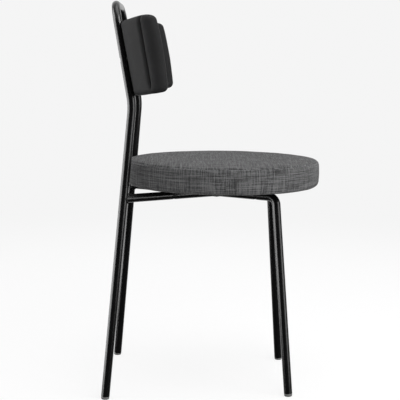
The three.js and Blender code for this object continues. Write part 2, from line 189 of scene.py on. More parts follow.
floor_finish = Finish("floor")
floor_at = floor_finish.parts(floor_finish.where())
floor_distance = (floor_at[0] ** 2.0 + floor_at[1] ** 2.0) ** 0.5
floor_fade = floor_distance.between(0.6, 2.6)
floor_plain = floor_finish.node("ShaderNodeBsdfDiffuse", None, {"Color": grey(0.9)})
floor_glow = floor_finish.blend(floor_fade, grey(FLOOR_WHITE), grey(ROOM_WHITE))
floor_dim = floor_finish.blend(
    floor_fade, grey(FLOOR_WHITE * FLOOR_BOUNCE), grey(ROOM_WHITE * FLOOR_BOUNCE)
)
floor_seen = floor_finish.node("ShaderNodeLightPath", give="Is Camera Ray")
floor_colour = floor_finish.blend(floor_seen, floor_dim, floor_glow)
floor_lit = floor_finish.node("ShaderNodeEmission", None, {"Color": floor_colour, "Strength": 1.0})
floor_share = FLOOR_LIT + floor_fade * (1 - FLOOR_LIT)
floor_mixed = floor_finish.node(
    "ShaderNodeMixShader", None, {0: floor_share, 1: floor_plain, 2: floor_lit}
)
floor_finish.tree.links.new(floor_mixed.socket, floor_finish.output.inputs["Surface"])

floor_mesh = bpy.data.meshes.new("floor")
floor_corners = [(-1, -1), (1, -1), (1, 1), (-1, 1)]
floor_points = [(x * FLOOR_REACH, y * FLOOR_REACH, 0) for x, y in floor_corners]
floor_mesh.from_pydata(floor_points, [], [(0, 1, 2, 3)])
floor = show("floor", floor_mesh, floor_finish.material)
floor.visible_glossy = False

world = bpy.data.worlds.new("room")
world.use_nodes = True
world.node_tree.nodes.clear()
bpy.context.scene.world = world
room = Finish("room", world.node_tree)
room_seen = room.node("ShaderNodeLightPath", give="Is Camera Ray")
room_mirrored = room.node("ShaderNodeLightPath", give="Is Glossy Ray")
room_across, _, room_height = room.parts(room.node("ShaderNodeTexCoord", give="Generated"))
room_glow = room_across.between(0.15, 0.95) + room_height.between(0.25, 0.95) * 0.5
room_reflected = room.blend(room_glow, grey(0.012), grey(0.95))
room_light = room.blend(room_mirrored, (0.34, 0.34, 0.345, 1), room_reflected)
room_colour = room.blend(room_seen, room_light, grey(ROOM_WHITE))
room_background = room.node("ShaderNodeBackground", None, {"Color": room_colour, "Strength": 1.0})
room_output = world.node_tree.nodes.new("ShaderNodeOutputWorld")
world.node_tree.links.new(room_background.socket, room_output.inputs["Surface"])
bpy.context.scene.view_settings.view_transform = "Standard"


def soft_box(name, place, size, power, aim, diffuse=True, glossy=True):
    """A rectangle of light that the camera doesn't see, aimed at a point."""
    light = bpy.data.lights.new(name, "AREA")
    light.shape = "RECTANGLE"
    light.size, light.size_y = size
    light.energy = power
    lamp = bpy.data.objects.new(name, light)
    bpy.context.scene.collection.objects.link(lamp)
    lamp.location = place
    lamp.rotation_mode = "QUATERNION"
    lamp.rotation_quaternion = (Vector(aim) - Vector(place)).to_track_quat("-Z", "Y")
    lamp.visible_camera = False
    lamp.visible_diffuse = diffuse
    lamp.visible_glossy = glossy


soft_box("light_behind_back", (-0.05, 2.0, 0.85), (2.0, 2.3), 74, (-0.1, 0.2, 0.8), diffuse=False)
soft_box("light_before_seat", (-1.35, -2.35, 1.0), (1.7, 2.2), 34, (0, 0, 0.75))
soft_box("light_high_before_seat", (-1.4, -2.0, 2.4), (2.2, 1.6), 60, (0, 0, 0.6), diffuse=False)
soft_box("light_beside_seat", (-2.6, -1.1, 1.6), (1.5, 1.8), 26, (0, 0, 0.6), glossy=False)
soft_box("light_overhead", (-0.3, -0.4, 2.9), (2.0, 2.0), 24, (0, 0, 0.45))

# ---------------------------------------------------------------------------
# Rear hoop. One 18 mm steel tube with a 1.5 mm wall, bent into both rear legs,
# both uprights and the bow over the pad, drilled for the pad's two screws, and
# powder coated satin black after welding.
# ---------------------------------------------------------------------------
TUBE_RADIUS = 9 * MM
BORE_RADIUS = 7.5 * MM
TUBE_SIDES = 48
REAR_FOOT = Vector((162.2, 224.2, 0)) * MM
WAIST = Vector((106.6, 170.9, 616.3)) * MM
BOW_CORNER = Vector((91, 208.2, 825)) * MM
WAIST_BEND_RADIUS = 130 * MM
BOW_BEND_RADIUS = 46 * MM
GLIDE_HEAD = 5.6 * MM
ACCESS_RADIUS = 5 * MM
CLEARANCE_RADIUS = 2.8 * MM
PAD_MIDDLE_Z = 711 * MM


def on_side(point, side):
    return Vector((side * point.x, point.y, point.z))


def tube_end(foot, upper):
    """Where a leg's tube stops, just above its glide's head."""
    along = (upper - foot).normalized()
    return foot + along * (GLIDE_HEAD / along.z)


def bent_line(corners, radii, degrees_per_step=3.0):
    """Stations (point, direction) along straight runs joined by round bends."""
    stations = [(corners[0], (corners[1] - corners[0]).normalized())]
    for before, corner, after, radius in zip(corners, corners[1:], corners[2:], radii):
        along = (corner - before).normalized()
        onward = (after - corner).normalized()
        angle = along.angle(onward)
        start = corner - along * radius * math.tan(angle / 2)
        inward = (onward - along * onward.dot(along)).normalized()
        centre = start + inward * radius
        steps = max(4, math.ceil(math.degrees(angle) / degrees_per_step))
        for step in range(steps + 1):
            turn = angle * step / steps
            point = centre - inward * radius * math.cos(turn) + along * radius * math.sin(turn)
            stations.append((point, along * math.cos(turn) + inward * math.sin(turn)))
    stations.append((corners[-1], (corners[-1] - corners[-2]).normalized()))
    return stations


def mesh_from(shape, name):
    mesh = bpy.data.meshes.new(name)
    shape.to_mesh(mesh)
    shape.free()
    return mesh


def add_ring_wall(shape, stations, radius, sides, outward=True):
    """One round wall along the stations; returns its first and last rings."""
    side = stations[0][1].orthogonal().normalized()
    rings = []
    for (point, along), before in zip(stations, [stations[0]] + stations):
        turn = before[1].rotation_difference(along)
        side = (turn @ side).normalized()
        other = along.cross(side)
        ring = []
        for step in range(sides):
            angle = 2 * math.pi * step / sides
            place = point + (side * math.cos(angle) + other * math.sin(angle)) * radius
            ring.append(shape.verts.new(place))
        rings.append(ring)
    for low, high in zip(rings, rings[1:]):
        for step in range(sides):
            around = (step + 1) % sides
            face = [low[step], low[around], high[around], high[step]]
            shape.faces.new(face if outward else face[::-1])
    return rings[0], rings[-1]


def tube_mesh(name, stations, outer, inner=0.0, sides=TUBE_SIDES):
    """A round bar, or a tube if it has an inner radius, closed at its ends."""
    shape = bmesh.new()
    first, last = add_ring_wall(shape, stations, outer, sides)
    if inner:
        inside_first, inside_last = add_ring_wall(shape, stations, inner, sides, False)
        for step in range(sides):
            around = (step + 1) % sides
            shape.faces.new([first[around], first[step], inside_first[step], inside_first[around]])
            shape.faces.new([last[step], last[around], inside_last[around], inside_last[step]])
    else:
        shape.faces.new(first[::-1])
        shape.faces.new(last)
    return mesh_from(shape, name)


def straight(start, direction, length):
    along = direction.normalized()
    return [(start, along), (start + along * length, along)]


def cut_away(mesh, cutters):
    """The mesh less every cutter, each a closed mesh."""
    body = bpy.data.objects.new("body", mesh)
    bpy.context.scene.collection.objects.link(body)
    helpers = []
    for cutter in cutters:
        helper = bpy.data.objects.new("cutter", cutter)
        bpy.context.scene.collection.objects.link(helper)
        helpers.append(helper)
        modifier = body.modifiers.new("cut", "BOOLEAN")
        modifier.operation = "DIFFERENCE"
        modifier.solver = "EXACT"
        modifier.object = helper
    graph = bpy.context.evaluated_depsgraph_get()
    made = bpy.data.meshes.new_from_object(body.evaluated_get(graph))
    for helper in [body] + helpers:
        bpy.data.objects.remove(helper)
    made.name = mesh.name
    return made


def smooth(mesh, degrees=35):
    mesh.shade_smooth()
    mesh.set_sharp_from_angle(angle=math.radians(degrees))


def add_piece(name, mesh, material, node=None):
    """Shows a piece of the chair, in place of its CAD piece if it has one."""
    piece = show(name, mesh, material)
    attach(piece, "root")
    if node:
        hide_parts(node)
    return piece


def screw_hole(place, direction, length):
    return tube_mesh("hole", straight(place, direction, length), CLEARANCE_RADIUS, sides=24)


def drilling(place, direction):
    """A screw's wide access hole through one wall and its small hole through the other."""
    reach = 2 * TUBE_RADIUS
    wide = tube_mesh("access", straight(place, -direction, reach), ACCESS_RADIUS, sides=32)
    return [wide, screw_hole(place, direction, reach)]


hoop_stations = bent_line(
    [
        tube_end(REAR_FOOT, WAIST),
        WAIST,
        BOW_CORNER,
        on_side(BOW_CORNER, -1),
        on_side(WAIST, -1),
        on_side(tube_end(REAR_FOOT, WAIST), -1),
    ],
    [WAIST_BEND_RADIUS, BOW_BEND_RADIUS, BOW_BEND_RADIUS, WAIST_BEND_RADIUS],
)
hoop_lean = math.atan2(BOW_CORNER.y - WAIST.y, BOW_CORNER.z - WAIST.z)
pad_forward = Vector((0, -math.cos(hoop_lean), math.sin(hoop_lean)))
back_screw = WAIST.lerp(BOW_CORNER, (PAD_MIDDLE_Z - WAIST.z) / (BOW_CORNER.z - WAIST.z))

powder_coat = Finish("black_powder_coat")
coat_at = powder_coat.where()
coat_peel = powder_coat.noise(coat_at, 700.0, 2.0, 0.55)
coat_wave = powder_coat.noise(coat_at, 90.0, 2.0, 0.5)
coat_cloud = powder_coat.noise(coat_at, 14.0, 3.0, 0.6)
coat_colour = powder_coat.blend(coat_cloud, (0.0035, 0.0035, 0.0037, 1), (0.006, 0.006, 0.0062, 1))
coat_bump = powder_coat.bump(coat_peel * 0.7 + coat_wave * 0.3, 0.00006, 0.6)
powder_coat.surface(
    Base_Color=coat_colour,
    Roughness=0.2 + coat_cloud * 0.08,
    Specular_IOR_Level=0.55,
    Normal=coat_bump,
)

hoop_mesh = tube_mesh("hoop", hoop_stations, TUBE_RADIUS, BORE_RADIUS)
hoop_cutters = [c for side in (-1, 1) for c in drilling(on_side(back_screw, side), pad_forward)]
hoop_mesh = cut_away(hoop_mesh, hoop_cutters)
smooth(hoop_mesh)
add_piece("hoop_tube", hoop_mesh, powder_coat.material, "rear_hoop")

# ---------------------------------------------------------------------------
# Crossed rails and front legs. The same tube: one rail runs through whole from
# a rear leg to the opposite knee and on down as a front leg, and the other is
# cut in two at the crossing. Their ends are coped and welded all round.
# ---------------------------------------------------------------------------
RAIL_HEIGHT = 422 * MM
KNEE = Vector((79.3 * MM, -134.9 * MM, RAIL_HEIGHT))
FRONT_FOOT = Vector((134, -165.7, 0)) * MM
KNEE_BEND_RADIUS = 18 * MM
WELD_GAP = 0.4 * MM
REAR_SCREW_REACH = 112 * MM
FRONT_SCREW_REACH = 100 * MM

rail_root = REAR_FOOT.lerp(WAIST, RAIL_HEIGHT / WAIST.z)
crossing = on_side(rail_root, -1).lerp(KNEE, rail_root.x / (rail_root.x + KNEE.x))


def seat_screw(end, side):
    """Where a seat screw stands on its rail's centre line, and the rail's direction there."""
    target = on_side(rail_root if end == "rear" else KNEE, side)
    along = (target - crossing).normalized()
    reach = REAR_SCREW_REACH if end == "rear" else FRONT_SCREW_REACH
    return crossing + along * reach, along


def leg_space(side):
    start = on_side(REAR_FOOT, side)
    run = on_side(WAIST, side) - start
    return tube_mesh("leg_space", straight(start, run, run.length), TUBE_RADIUS + WELD_GAP)


def through_space():
    run = KNEE - on_side(rail_root, -1)
    stations = straight(on_side(rail_root, -1), run, run.length)
    return tube_mesh("through_space", stations, TUBE_RADIUS + WELD_GAP)


def rail_and_leg(name, start, side):
    corners = [start, on_side(KNEE, side), on_side(tube_end(FRONT_FOOT, KNEE), side)]
    return tube_mesh(name, bent_line(corners, [KNEE_BEND_RADIUS]), TUBE_RADIUS, BORE_RADIUS)


def add_rail(name, mesh, cutters, node):
    made = cut_away(mesh, cutters)
    smooth(made)
    add_piece(name, made, powder_coat.material, node)


add_rail(
    "through_rail",
    rail_and_leg("through_rail", on_side(rail_root, -1), 1),
    [leg_space(-1), *drilling(seat_screw("rear", -1)[0], UP), *drilling(seat_screw("front", 1)[0], UP)],
    "through_rail_and_leg",
)
add_rail(
    "cross_rail_front",
    rail_and_leg("cross_rail_front", crossing, -1),
    [through_space(), *drilling(seat_screw("front", -1)[0], UP)],
    "cross_rail_and_leg",
)
stub_run = rail_root - crossing
add_rail(
    "cross_rail_rear",
    tube_mesh("cross_rail_rear", straight(crossing, stub_run, stub_run.length), TUBE_RADIUS, BORE_RADIUS),
    [through_space(), leg_space(1), *drilling(seat_screw("rear", 1)[0], UP)],
    "cross_rail_stub",
)

# ---------------------------------------------------------------------------
# Weld beads. A small rippled fillet of weld runs right round each coped rail
# end where it meets the tube that it is welded to, coated with the frame.
# ---------------------------------------------------------------------------
LEG_BEAD_RADIUS = 1.7 * MM
CROSSING_BEAD_RADIUS = 1.2 * MM
BEAD_STEPS = 180
BEAD_SIDES = 10
BEAD_RIPPLES = 34
RIPPLE = 0.16


def reach_of(start, along, axis_point, axis, bead):
    """How far a line must run on from a start for a bead on it to lie on a tube."""
    offset = start - axis_point
    flat_offset = offset - axis * offset.dot(axis)
    flat_along = along - axis * along.dot(axis)
    a = flat_along.dot(flat_along)
    b = 2 * flat_offset.dot(flat_along)
    c = flat_offset.dot(flat_offset) - (TUBE_RADIUS + bead * 0.3) ** 2
    return (-b + math.sqrt(max(b * b - 4 * a * c, 0.0))) / (2 * a)


def weld_bead(name, bead, start, along, axis_point, axis):
    """A bead along the line where a rail's outside meets another tube's outside."""
    side = along.orthogonal().normalized()
    other = along.cross(side)
    centres = []
    for step in range(BEAD_STEPS):
        angle = 2 * math.pi * step / BEAD_STEPS
        spoke = side * math.cos(angle) + other * math.sin(angle)
        base = start + spoke * (TUBE_RADIUS + bead * 0.25)
        centres.append(base + along * reach_of(base, along, axis_point, axis, bead))
    shape = bmesh.new()
    rings = []
    for step, centre in enumerate(centres):
        ahead_point = centres[(step + 1) % BEAD_STEPS]
        run = (ahead_point - centres[step - 1]).normalized()
        normal = (centre - start).cross(run).normalized()
        ripple = 1 + RIPPLE * math.sin(step * 2 * math.pi * BEAD_RIPPLES / BEAD_STEPS)
        ring = []
        for corner in range(BEAD_SIDES):
            angle = 2 * math.pi * corner / BEAD_SIDES
            spoke = normal * math.cos(angle) + run.cross(normal) * math.sin(angle)
            ring.append(shape.verts.new(centre + spoke * bead * ripple))
        rings.append(ring)
    for step, ring in enumerate(rings):
        before = rings[step - 1]
        for corner in range(BEAD_SIDES):
            around = (corner + 1) % BEAD_SIDES
            shape.faces.new([before[corner], before[around], ring[around], ring[corner]])
    bmesh.ops.recalc_face_normals(shape, faces=shape.faces)
    mesh = mesh_from(shape, name)
    mesh.shade_smooth()
    add_piece(name, mesh, powder_coat.material)


for side, hand in ((-1, "right"), (1, "left")):
    root = on_side(rail_root, side)
    leg_axis = (on_side(WAIST, side) - on_side(REAR_FOOT, side)).normalized()
    rail_run = (crossing - root).normalized()
    weld_bead(f"weld_at_leg_{hand}", LEG_BEAD_RADIUS, root, rail_run, root, leg_axis)
through_axis = (KNEE - on_side(rail_root, -1)).normalized()
for end, target in (("front", on_side(KNEE, -1)), ("rear", rail_root)):
    rail_run = (target - crossing).normalized()
    weld_bead(
        f"weld_at_crossing_{end}", CROSSING_BEAD_RADIUS, crossing, rail_run, crossing, through_axis
    )

# ---------------------------------------------------------------------------
# Glides. A grey nylon plug in the end of each leg: its round head takes the
# chair's weight on the floor, and its stem is pushed up into the tube.
# ---------------------------------------------------------------------------
GLIDE_HEAD_RADIUS = 8.6 * MM
GLIDE_STEM = 16 * MM
GLIDE_DOME = 3.4 * MM
GLIDE_SOLE = 1.2 * MM  # how far the slanted head would reach below the floor's level
FIT = 0.3 * MM


def turned_mesh(name, profile, place, direction, sides=48):
    """A closed profile (radius, height) turned about a direction from a place."""
    turn = UP.rotation_difference(direction.normalized())
    shape = bmesh.new()
    rings = []
    for radius, height in profile:
        if radius == 0:
            rings.append([shape.verts.new(place + turn @ Vector((0, 0, height)))])
            continue
        ring = []
        for step in range(sides):
            angle = 2 * math.pi * step / sides
            offset = Vector((radius * math.cos(angle), radius * math.sin(angle), height))
            ring.append(shape.verts.new(place + turn @ offset))
        rings.append(ring)
    for low, high in zip(rings, rings[1:]):
        for step in range(sides):
            around = (step + 1) % sides
            corners = [low[step % len(low)], low[around % len(low)]]
            corners += [high[around % len(high)], high[step % len(high)]]
            shape.faces.new(list(dict.fromkeys(corners)))
    bmesh.ops.recalc_face_normals(shape, faces=shape.faces)
    return mesh_from(shape, name)


def round_corner(radius, height, edge, start, end, steps=6):
    """Points of a round edge about (radius, height), between two angles in degrees."""
    points = []
    for step in range(steps + 1):
        angle = math.radians(start + (end - start) * step / steps)
        points.append((radius + edge * math.cos(angle), height + edge * math.sin(angle)))
    return points


nylon = Finish("grey_nylon")
nylon_at = nylon.where()
nylon_height = nylon.parts(nylon_at)[2]
nylon_speck = nylon.noise(nylon_at, 1400.0, 2.0)
nylon_scuff = nylon.noise(nylon_at, 260.0, 4.0, 0.7)
nylon_worn = (1 - nylon_height.between(0.0, 0.0022)) * nylon_scuff.between(0.35, 0.7)
nylon_plain = nylon.blend(nylon_speck, (0.13, 0.13, 0.128, 1), (0.185, 0.185, 0.18, 1))
nylon.surface(
    Base_Color=nylon.blend(nylon_worn, nylon_plain, (0.06, 0.058, 0.054, 1)),
    Roughness=0.42 + nylon_scuff * 0.25,
    Normal=nylon.bump(nylon_speck + nylon_scuff, 0.00008, 0.5),
)


def add_glide(name, foot, upper):
    along = (upper - foot).normalized()
    head_top = GLIDE_HEAD / along.z - FIT
    profile = [
        (0, -GLIDE_SOLE),
        *round_corner(GLIDE_HEAD_RADIUS - GLIDE_DOME, GLIDE_DOME - GLIDE_SOLE, GLIDE_DOME, -90, 0),
        *round_corner(GLIDE_HEAD_RADIUS - 0.5 * MM, head_top - 0.5 * MM, 0.5 * MM, 0, 90, 3),
        (BORE_RADIUS - FIT, head_top),
        (BORE_RADIUS - FIT, head_top + GLIDE_STEM - 1.5 * MM),
        (BORE_RADIUS - 2 * MM, head_top + GLIDE_STEM),
        (0, head_top + GLIDE_STEM),
    ]
    mesh = turned_mesh(name, profile, foot, along)
    for corner in mesh.vertices:
        corner.co.z = max(corner.co.z, 0.0)
    smooth(mesh)
    add_piece(name, mesh, nylon.material, name.replace("foot", "glide"))


for side, hand in ((-1, "right"), (1, "left")):
    add_glide(f"foot_rear_{hand}", on_side(REAR_FOOT, side), on_side(WAIST, side))
    add_glide(f"foot_front_{hand}", on_side(FRONT_FOOT, side), on_side(KNEE, side))

# ---------------------------------------------------------------------------
# Seat screws and spacers. A zinc-plated socket head screw goes up through each
# rail and a black nylon block that is hollowed to sit on the tube.
# ---------------------------------------------------------------------------
HEAD_RADIUS = 4.25 * MM
HEAD_HEIGHT = 5 * MM
SCREW_RADIUS = 2.5 * MM
HEX_RADIUS = 2.3 * MM
HEX_DEPTH = 2.6 * MM
SEAT_SCREW_LENGTH = 25 * MM
BACK_SCREW_LENGTH = 16 * MM
SEAT_SPACER_RADIUS = 11 * MM
SEAT_SPACER_TOP = 439.7 * MM
SEAT_SPACER_EDGE = 0.8 * MM
PITCH_OF_THREAD = 0.8 * MM
THREAD_DEPTH = 0.35 * MM
HEAD_EDGE = 0.6 * MM
HOLE_LENGTH = 30 * MM

zinc = Finish("zinc_plate")
zinc_at = zinc.where()
zinc_grain = zinc.noise(zinc_at, 900.0, 3.0, 0.6)
zinc.surface(
    Base_Color=zinc.blend(zinc_grain, (0.42, 0.43, 0.44, 1), (0.6, 0.6, 0.59, 1)),
    Metallic=1.0,
    Roughness=0.28 + zinc_grain * 0.2,
    Normal=zinc.bump(zinc_grain, 0.00004, 0.5),
)

black_nylon = Finish("black_nylon")
black_nylon_at = black_nylon.where()
black_nylon_grain = black_nylon.noise(black_nylon_at, 1200.0, 3.0, 0.6)
black_nylon.surface(
    Base_Color=black_nylon.blend(black_nylon_grain, (0.008, 0.008, 0.008, 1), (0.016, 0.016, 0.016, 1)),
    Roughness=0.5 + black_nylon_grain * 0.15,
    Normal=black_nylon.bump(black_nylon_grain, 0.00006, 0.5),
)


def add_screw(name, place, direction, length, node):
    """A screw whose head bears inside the tube wall that it passes."""
    seat = math.sqrt(BORE_RADIUS**2 - HEAD_RADIUS**2) - FIT
    thread = []
    turns = round((length - 3 * MM) / PITCH_OF_THREAD)
    for turn in range(turns):
        base = seat + 2 * MM + turn * PITCH_OF_THREAD
        thread += [(SCREW_RADIUS - THREAD_DEPTH, base), (SCREW_RADIUS, base + PITCH_OF_THREAD / 2)]
    profile = [
        (0, seat - HEAD_HEIGHT),
        *round_corner(HEAD_RADIUS - HEAD_EDGE, seat - HEAD_HEIGHT + HEAD_EDGE, HEAD_EDGE, -90, 0, 4),
        (HEAD_RADIUS, seat - 0.15 * MM),
        (HEAD_RADIUS - 0.15 * MM, seat),
        (SCREW_RADIUS, seat),
        (SCREW_RADIUS, seat + 1.6 * MM),
        *thread,
        (SCREW_RADIUS - 0.8 * MM, seat + length),
        (0, seat + length),
    ]
    mesh = turned_mesh(name, profile, place, direction, 32)
    socket_start = place + direction * (seat - HEAD_HEIGHT - 1 * MM)
    socket_line = straight(socket_start, direction, HEX_DEPTH + 1 * MM)
    mesh = cut_away(mesh, [tube_mesh("socket", socket_line, HEX_RADIUS, sides=6)])
    smooth(mesh)
    add_piece(name, mesh, zinc.material, node)


for end in ("rear", "front"):
    for side, hand in ((-1, "right"), (1, "left")):
        place, along = seat_screw(end, side)
        add_screw(f"bolt_{end}_{hand}", place, UP, SEAT_SCREW_LENGTH, f"seat_screw_{end}_{hand}")
        edge = SEAT_SPACER_EDGE
        top = SEAT_SPACER_TOP - place.z
        block_profile = [
            (0, 0),
            (SEAT_SPACER_RADIUS, 0),
            *round_corner(SEAT_SPACER_RADIUS - edge, top - edge, edge, 0, 90, 4),
            (0, top),
        ]
        block = turned_mesh(f"rail_block_{end}_{hand}", block_profile, place, UP)
        rail_space = tube_mesh(
            "rail_space",
            straight(place - along * 2 * SEAT_SPACER_RADIUS, along, 4 * SEAT_SPACER_RADIUS),
            TUBE_RADIUS + FIT,
        )
        block = cut_away(block, [rail_space, screw_hole(place, UP, HOLE_LENGTH)])
        smooth(block)
        add_piece(
            f"rail_block_{end}_{hand}",
            block,
            black_nylon.material,
            f"seat_spacer_{end}_{hand}",
        )

# ---------------------------------------------------------------------------
# Seat board and tee nuts. A round birch plywood board, with a zinc-plated tee
# nut knocked down into it from above for each seat screw.
# ---------------------------------------------------------------------------
SEAT_CENTRE_Y = -23.3 * MM

birch = Finish("birch_plywood")
birch_x, birch_y, birch_z = birch.parts(birch.where())
birch_stretched = birch.vector(birch_x * 60.0, birch_y * 6.0, birch_z * 60.0)
birch_grain = birch.noise(birch_stretched, 4.0, 5.0, 0.6)
birch_layers = (birch_z * 4000.0).math("SINE").between(-0.2, 0.2)
birch_wood = birch.blend(birch_grain, (0.52, 0.36, 0.2, 1), (0.68, 0.51, 0.31, 1))
birch.surface(
    Base_Color=birch.blend(birch_layers * 0.25, birch_wood, (0.33, 0.2, 0.1, 1)),
    Roughness=0.55 + birch_grain * 0.2,
    Normal=birch.bump(birch_grain, 0.0002, 0.4),
)


def finish_node(node, material):
    piece = nodes[node]
    piece.data.materials.clear()
    piece.data.materials.append(material)


finish_node("seat_board", birch.material)
for end in ("rear", "front"):
    for hand in ("right", "left"):
        finish_node(f"seat_tee_nut_{end}_{hand}", zinc.material)

# ---------------------------------------------------------------------------
# Seat cushion. Upholstery foam over the board in a sewn cover of grey heathered
# linen-weave cloth: a top disc and a side band, turned under and stapled.
# ---------------------------------------------------------------------------
SEAT_RADIUS = 210 * MM
SEAT_BOTTOM = 441 * MM
SEAT_TOP = 497 * MM
SEAT_EDGE = 10 * MM
HEM_INNER_RADIUS = 176 * MM
FABRIC = 1.4 * MM
SEAT_CROWN = 1.5 * MM
SEAT_BELLY = 1.0 * MM
BELLY_SPAN = 46 * MM
SEAM_DEPTH = 1.1 * MM
SEAM_WIDTH = 1.3 * MM
SEAM_GATHER = 0.5 * MM
GATHER_REACH = 7 * MM
SEAT_UNEVEN = 0.45 * MM
SEAT_COLUMNS = 240
PADDING_PRESSURE = 4.0
SWELL_MOMENTS = 20
SWELL_NEIGHBOURS = 10
SIM_INSET = 1.2 * MM  # the simulated skin lies this far inside the cover
seat_centre = Vector((0, SEAT_CENTRE_Y, 0))


def swelling(mesh, voxel, cap, held):
    """How padding swells a mesh out, as a function of the place, by cloth simulation.

    A copy of the mesh is remeshed evenly and blown up a little, while the points
    that held() says are sewn or stapled down stay where they are.
    """
    closed = mesh.copy()
    shape = bmesh.new()
    shape.from_mesh(closed)
    bmesh.ops.holes_fill(shape, edges=shape.edges)
    shape.to_mesh(closed)
    shape.free()
    body = bpy.data.objects.new("swelling", closed)
    bpy.context.scene.collection.objects.link(body)
    remesh = body.modifiers.new("remesh", "REMESH")
    remesh.mode = "VOXEL"
    remesh.voxel_size = voxel
    graph = bpy.context.evaluated_depsgraph_get()
    even = bpy.data.meshes.new_from_object(body.evaluated_get(graph))
    body.modifiers.clear()
    body.data = even
    start = [corner.co.copy() for corner in even.vertices]
    group = body.vertex_groups.new(name="held")
    for index, point in enumerate(start):
        group.add([index], held(point), "REPLACE")
    cloth = body.modifiers.new("cloth", "CLOTH")
    cloth.settings.vertex_group_mass = "held"
    cloth.settings.use_pressure = True
    cloth.settings.uniform_pressure_force = PADDING_PRESSURE
    cloth.settings.effector_weights.gravity = 0
    cloth.settings.quality = 4
    cloth.point_cache.frame_start = 1
    cloth.point_cache.frame_end = SWELL_MOMENTS
    for moment in range(1, SWELL_MOMENTS + 1):
        bpy.context.scene.frame_set(moment)
        graph = bpy.context.evaluated_depsgraph_get()
        swollen = body.evaluated_get(graph)
    moves = [corner.co - before for corner, before in zip(swollen.data.vertices, start)]
    bpy.data.objects.remove(body)
    bpy.context.scene.frame_set(1)
    tree = KDTree(len(start))
    for index, point in enumerate(start):
        tree.insert(point, index)
    tree.balance()

    def move(point):
        total, weights = Vector((0, 0, 0)), 0.0
        for place, index, distance in tree.find_n(point, SWELL_NEIGHBOURS):
            weight = 1 / (distance + 2 * MM)
            total += moves[index] * weight
            weights += weight
        average = total / weights
        return average * (cap / max(cap, average.length))

    return move


def fade(value, low, high):
    share = min(max((value - low) / (high - low), 0.0), 1.0)
    return share * share * (3 - 2 * share)


def seat_profile(inset=0.0):
    """Rows of (radius, height, slope from level in degrees, distance from the seam)."""
    edge = SEAT_EDGE - inset
    inner = SEAT_RADIUS - SEAT_EDGE
    rows = []
    for step in range(4):
        radius = HEM_INNER_RADIUS + (inner - HEM_INNER_RADIUS) * step / 4
        rows.append((radius, SEAT_BOTTOM + inset, -90, 1))
    for step in range(7):
        angle = -90 + 15 * step
        across = math.cos(math.radians(angle)) * edge
        rise = math.sin(math.radians(angle)) * edge
        rows.append((inner + across, SEAT_BOTTOM + SEAT_EDGE + rise, angle, 1))
    side_low, side_high = SEAT_BOTTOM + SEAT_EDGE, SEAT_TOP - SEAT_EDGE
    for step in range(1, 12):
        height = side_low + (side_high - side_low) * step / 12
        seam = side_high - height + SEAT_EDGE * math.pi / 4
        rows.append((SEAT_RADIUS - inset, height, 0, seam))
    for angle in (0, 12, 22, 30, 36, 40, 43, 45, 47, 50, 54, 60, 68, 78, 90):
        across = math.cos(math.radians(angle)) * edge
        rise = math.sin(math.radians(angle)) * edge
        seam = abs(math.radians(angle - 45)) * SEAT_EDGE
        rows.append((inner + across, SEAT_TOP - SEAT_EDGE + rise, angle, seam))
    for step in range(1, 27):
        radius = inner * (1 - step / 26)
        rows.append((radius, SEAT_TOP - inset, 90, inner - radius + SEAT_EDGE * math.pi / 4))
    return rows


def seat_mesh(name, inset=0.0, move=None):
    """The cushion's outside, with its crown, its belly and the pull of its seam."""
    shape = bmesh.new()
    rings = []
    for radius, height, slope, seam in seat_profile(inset):
        columns = SEAT_COLUMNS if radius > 1e-6 else 1
        ring = []
        for column in range(columns):
            angle = 2 * math.pi * column / SEAT_COLUMNS
            spoke = Vector((math.cos(angle), math.sin(angle), 0))
            point = seat_centre + spoke * radius + UP * height
            lean = math.radians(slope)
            outward = spoke * math.cos(lean) + UP * math.sin(lean)
            crown = SEAT_CROWN * (1 - (radius / SEAT_RADIUS) ** 2) if slope == 90 else 0.0
            belly = 0.0
            if slope == 0:
                middle = (SEAT_BOTTOM + SEAT_TOP) / 2
                belly = SEAT_BELLY * math.cos(math.pi * (height - middle) / BELLY_SPAN)
            valley = -SEAM_DEPTH * math.exp(-((seam / SEAM_WIDTH) ** 2))
            gather = noise.noise(Vector((angle * 38, seam / (9 * MM), 1.7)))
            gather *= SEAM_GATHER * math.exp(-seam / GATHER_REACH)
            drift = SEAT_UNEVEN * noise.noise(point * 28)
            if move:
                point += move(point)
            ring.append(shape.verts.new(point + outward * (crown + belly + valley + gather + drift)))
        rings.append(ring)
    for low, high in zip(rings, rings[1:]):
        for column in range(SEAT_COLUMNS):
            around = (column + 1) % SEAT_COLUMNS
            corners = [low[column], low[around], high[around % len(high)], high[column % len(high)]]
            shape.faces.new(list(dict.fromkeys(corners)))
    return mesh_from(shape, name)


def seat_held(point):
    """The cover is stapled down underneath, and its seam hardly stretches."""
    radius = (Vector((point.x, point.y, 0)) - seat_centre).length
    seam = Vector((radius - (SEAT_RADIUS - 3 * MM), point.z - (SEAT_TOP - 3 * MM), 0)).length
    under = 1 - fade(point.z, SEAT_BOTTOM + 2 * MM, SEAT_BOTTOM + 12 * MM)
    return max(under, 0.85 * (1 - fade(seam, 3 * MM, 12 * MM)))


